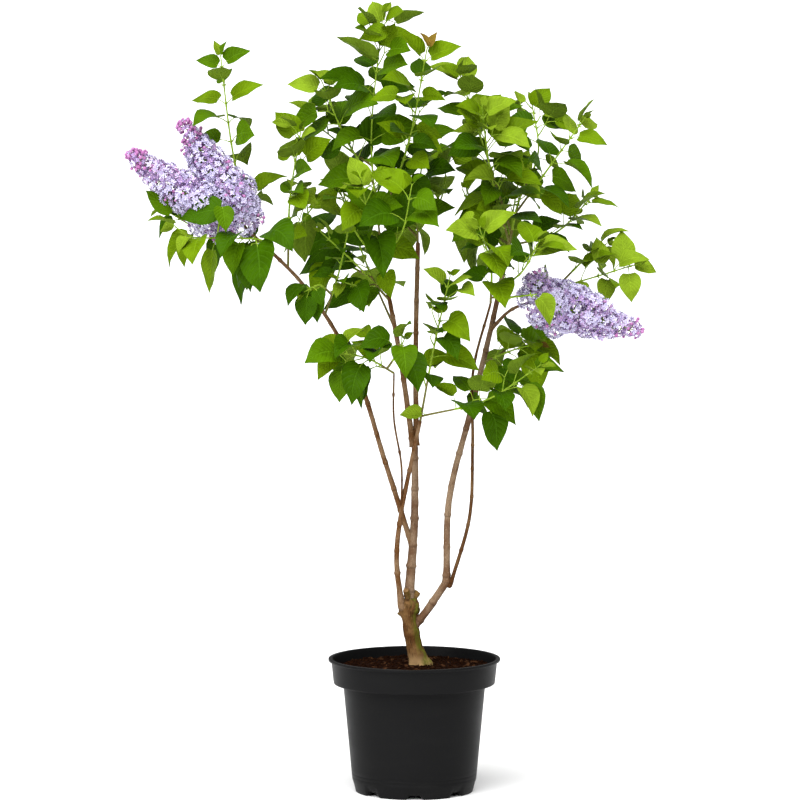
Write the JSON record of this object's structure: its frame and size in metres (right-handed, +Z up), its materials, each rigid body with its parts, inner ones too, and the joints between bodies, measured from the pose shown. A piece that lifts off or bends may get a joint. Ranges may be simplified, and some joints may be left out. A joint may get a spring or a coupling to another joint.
{
  "type": "potted lilac bush",
  "caption": "Young flowering lilac in a round black nursery pot: a short pruned trunk, slim bare stems, an open crown of heart-shaped leaves and cone-shaped trusses of double flowers.",
  "frame": {"origin": "middle of the container's flat underside, on the ground it stands on", "axes": "+Z up, +X to the right and -Y to the front of the plant, seen from where both flower trusses show"},
  "size_m": [0.8504, 0.4223, 1.2829],
  "materials": {
    "pot_plastic": "moulded black plastic with a soft sheen",
    "potting_soil": "crumbly brown potting soil with bark chips",
    "trunk_bark": "ridged brown bark, greened by algae near the soil",
    "stem_bark": "smooth brown-grey bark with pale pores and ringed nodes",
    "leaf": "fresh green leaf, waxy above and paler below",
    "petal": "soft lilac petals with magenta buds"
  },
  "bodies": {
    "root": {"pot": "pot_plastic", "soil": "potting_soil", "trunk": "trunk_bark", "left_stem": "stem_bark", "centre_stem": "stem_bark", "centre_cut": "stem_bark", "left_centre": "stem_bark", "far_left": "stem_bark", "dark_twig": "stem_bark", "right_stem": "stem_bark", "right_main": "stem_bark", "right_thin": "stem_bark", "right_truss_bough": "stem_bark", "crown_left_centre": "leaf", "crown_left_front": "leaf", "crown_left_back": "leaf", "crown_left_low": "leaf", "crown_left": "leaf", "crown_left_skirt": "leaf", "crown_left_bright": "leaf", "crown_left_inner": "leaf", "crown_centre_back": "leaf", "crown_right": "leaf", "crown_right_back": "leaf", "crown_right_front": "leaf", "crown_right_low": "leaf", "crown_far_right": "leaf", "crown_low_right": "leaf", "crown_low_left": "leaf", "blossom_left": "petal", "blossom_right": "petal"}
  },
  "joints": []
}
